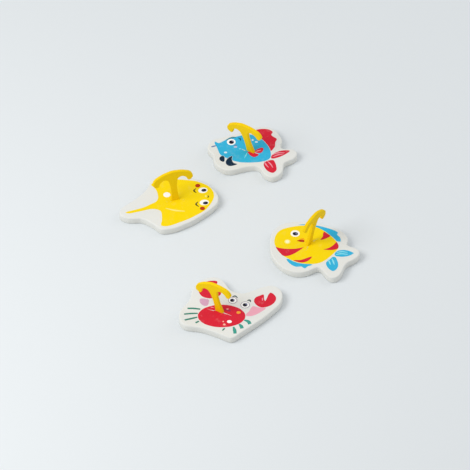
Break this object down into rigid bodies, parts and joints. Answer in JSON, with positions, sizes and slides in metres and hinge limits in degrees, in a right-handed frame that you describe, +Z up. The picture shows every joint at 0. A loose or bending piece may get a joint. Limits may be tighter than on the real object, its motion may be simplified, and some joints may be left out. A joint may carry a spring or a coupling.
{
  "type": "floating fishing game animals",
  "caption": "Flat foam sea animals that float, each with an upright double hook plate in a slit, to be picked up with a rod or a net.",
  "frame": {"origin": "under the middle of the whole set, on the surface that the floats lie on", "axes": "+Z up, +X to the right and +Y away from the viewer in the picture; the set is longest along Y"},
  "size_m": [0.3002, 0.3732, 0.0574],
  "materials": {
    "foam_white": "fine closed-cell foam, matte",
    "hook_yellow": "fine closed-cell foam, coloured through, matte",
    "ink_blue": "printed ink, satin",
    "ink_red": "printed ink, satin",
    "ink_navy": "printed ink, satin",
    "ink_yellow": "printed ink, satin",
    "ink_teal": "printed ink, satin",
    "ink_pink": "printed ink, satin",
    "ink_rust": "printed ink, satin",
    "ink_white": "printed ink, satin",
    "ink_black": "printed ink, satin"
  },
  "bodies": {
    "ray": {"ray_float": "foam_white", "ray_body": "ink_yellow", "ray_eye_right": "ink_white", "ray_eye_left": "ink_white", "ray_pupil_right": "ink_black", "ray_pupil_left": "ink_black", "ray_cheek_right": "ink_rust", "ray_cheek_left": "ink_rust", "ray_spot": "ink_white"},
    "ray_double_hook": {"ray_hook": "hook_yellow"},
    "blue_fish": {"blue_fish_float": "foam_white", "blue_fish_body": "ink_blue", "blue_fish_fin_back": "ink_red", "blue_fish_tail_upper": "ink_red", "blue_fish_tail_lower": "ink_red", "blue_fish_fin_front": "ink_navy", "blue_fish_fin_rear": "ink_navy", "blue_fish_fin_side_lower": "ink_red", "blue_fish_fin_side_upper": "ink_red", "blue_fish_eye": "ink_white", "blue_fish_pupil": "ink_black"},
    "blue_fish_double_hook": {"blue_fish_hook": "hook_yellow"},
    "striped_fish": {"striped_fish_float": "foam_white", "striped_fish_body": "ink_yellow", "striped_fish_stripe_chin": "ink_red", "striped_fish_stripe_belly": "ink_red", "striped_fish_stripe_back": "ink_red", "striped_fish_stripe_tail": "ink_red", "striped_fish_fin_upper": "ink_blue", "striped_fish_fin_lower": "ink_blue", "striped_fish_tail_upper": "ink_blue", "striped_fish_tail_lower": "ink_blue", "striped_fish_eye": "ink_white", "striped_fish_pupil": "ink_black"},
    "striped_fish_double_hook": {"striped_fish_hook": "hook_yellow"},
    "crab": {"crab_float": "foam_white", "crab_shell": "ink_red", "crab_claw_right": "ink_red", "crab_claw_left": "ink_red", "crab_arm_left": "ink_pink", "crab_arm_right": "ink_pink", "crab_eye_left": "ink_white", "crab_eye_right": "ink_white", "crab_pupil_left": "ink_black", "crab_pupil_right": "ink_black", "crab_leg_left_1": "ink_teal", "crab_leg_left_2": "ink_teal", "crab_leg_left_3": "ink_teal", "crab_leg_left_4": "ink_teal", "crab_leg_right_1": "ink_teal", "crab_leg_right_2": "ink_teal", "crab_leg_right_3": "ink_teal", "crab_leg_right_4": "ink_teal"},
    "crab_double_hook": {"crab_hook": "hook_yellow"}
  },
  "joints": [
    {"name": "ray_hook_pull", "type": "slide", "parent": "ray", "child": "ray_double_hook", "axis": [-0.09, 0.0277, 0.9956], "range_m": [0, 0.012]},
    {"name": "blue_fish_lift", "type": "slide", "parent": "ray", "child": "blue_fish", "axis": [0, 0, 1], "range_m": [0, 0.1]},
    {"name": "blue_fish_hook_pull", "type": "slide", "parent": "blue_fish", "child": "blue_fish_double_hook", "axis": [-0.2345, 0.0224, 0.9719], "range_m": [0, 0.012]},
    {"name": "striped_fish_lift", "type": "slide", "parent": "ray", "child": "striped_fish", "axis": [0, 0, 1], "range_m": [0, 0.1]},
    {"name": "striped_fish_hook_pull", "type": "slide", "parent": "striped_fish", "child": "striped_fish_double_hook", "axis": [0.2028, 0.1694, 0.9645], "range_m": [0, 0.012]},
    {"name": "crab_lift", "type": "slide", "parent": "ray", "child": "crab", "axis": [0, 0, 1], "range_m": [0, 0.1]},
    {"name": "crab_hook_pull", "type": "slide", "parent": "crab", "child": "crab_double_hook", "axis": [-0.2301, 0.0714, 0.9705], "range_m": [0, 0.012]}
  ]
}
